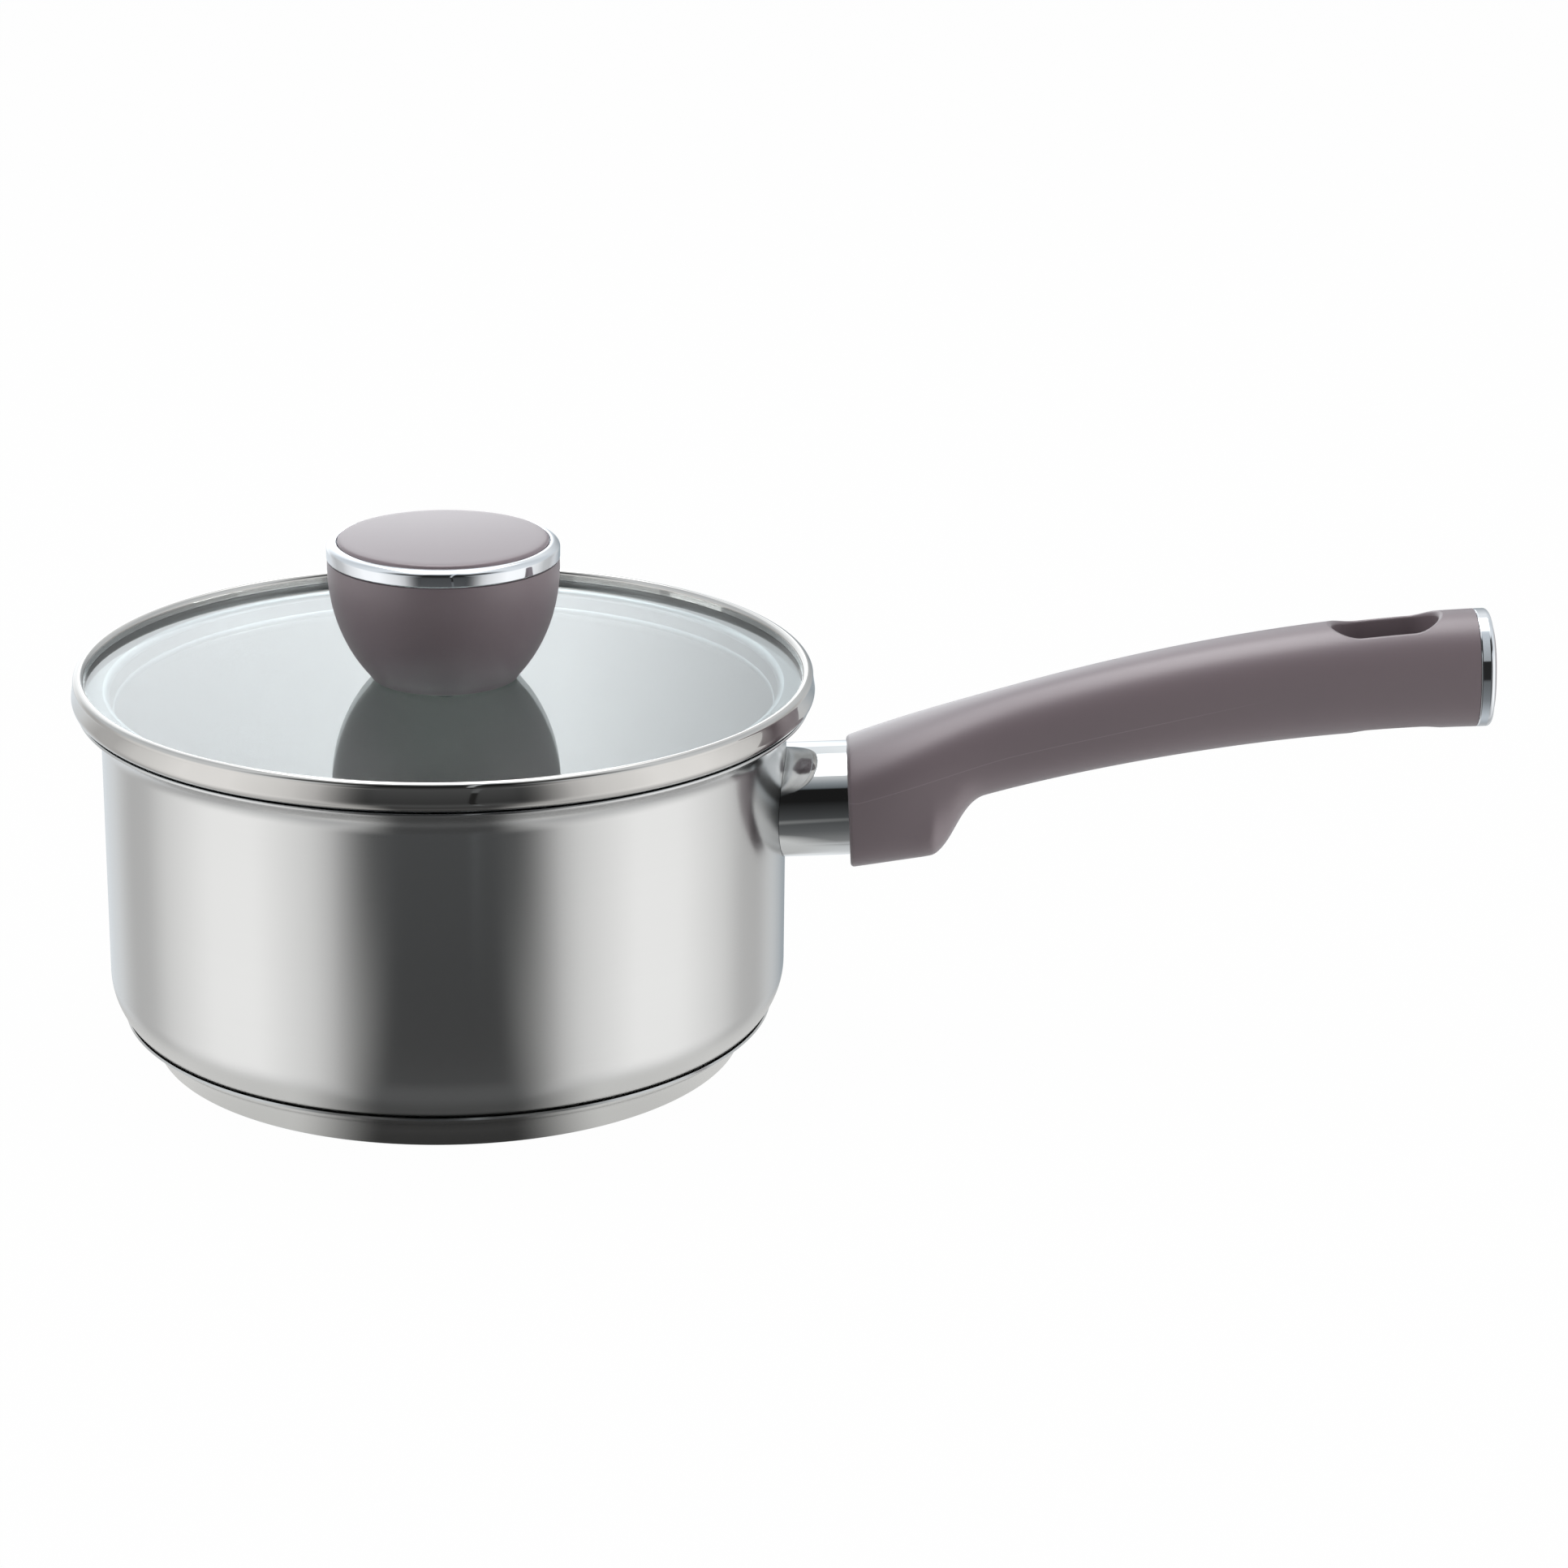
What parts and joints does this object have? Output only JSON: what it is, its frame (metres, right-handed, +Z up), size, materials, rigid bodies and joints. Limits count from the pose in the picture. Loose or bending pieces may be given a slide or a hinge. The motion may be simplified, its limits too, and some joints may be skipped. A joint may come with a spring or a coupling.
{
  "type": "saucepan with glass lid",
  "caption": "Small steel saucepan with a flared pouring rim, a soft-touch side handle with a hang slot, and a lift-off glass lid with a steel band and a round knob.",
  "frame": {"origin": "centre of the base's underside, on the pan's axis", "axes": "+Z up along the pan's axis, +X along the handle, Y across"},
  "size_m": [0.3349, 0.1748, 0.1248],
  "materials": {
    "satin_steel": "satin",
    "base_steel": "satin",
    "bracket_steel": "pressed",
    "screw_steel": "plain",
    "polished_steel": "polished",
    "band_steel": "polished",
    "bright_chrome": "mirror",
    "core_aluminium": "rolled",
    "soft_touch_mauve": "soft-touch matte",
    "insert_brass": "turned",
    "clear_silicone": "translucent",
    "lid_glass": "clear"
  },
  "bodies": {
    "pan": {"pan_vessel": "satin_steel", "base_core": "core_aluminium", "base_cap": "base_steel", "handle_bracket": "bracket_steel", "handle_collar": "polished_steel", "handle_grip": "soft_touch_mauve", "handle_screw": "screw_steel", "handle_lock_washer": "screw_steel", "grip_end_ring": "bright_chrome", "grip_end_disc": "soft_touch_mauve"},
    "lid": {"lid_glass": "lid_glass", "lid_band": "band_steel", "knob_body": "soft_touch_mauve", "knob_ring": "bright_chrome", "knob_top_disc": "soft_touch_mauve", "knob_insert": "insert_brass", "knob_gasket": "clear_silicone", "lid_gasket": "clear_silicone", "lid_washer": "screw_steel", "lid_screw": "screw_steel"}
  },
  "joints": [
    {"name": "lid_lift", "type": "slide", "parent": "pan", "child": "lid", "axis": [0, 0, 1], "range_m": [0, 0.12]}
  ]
}
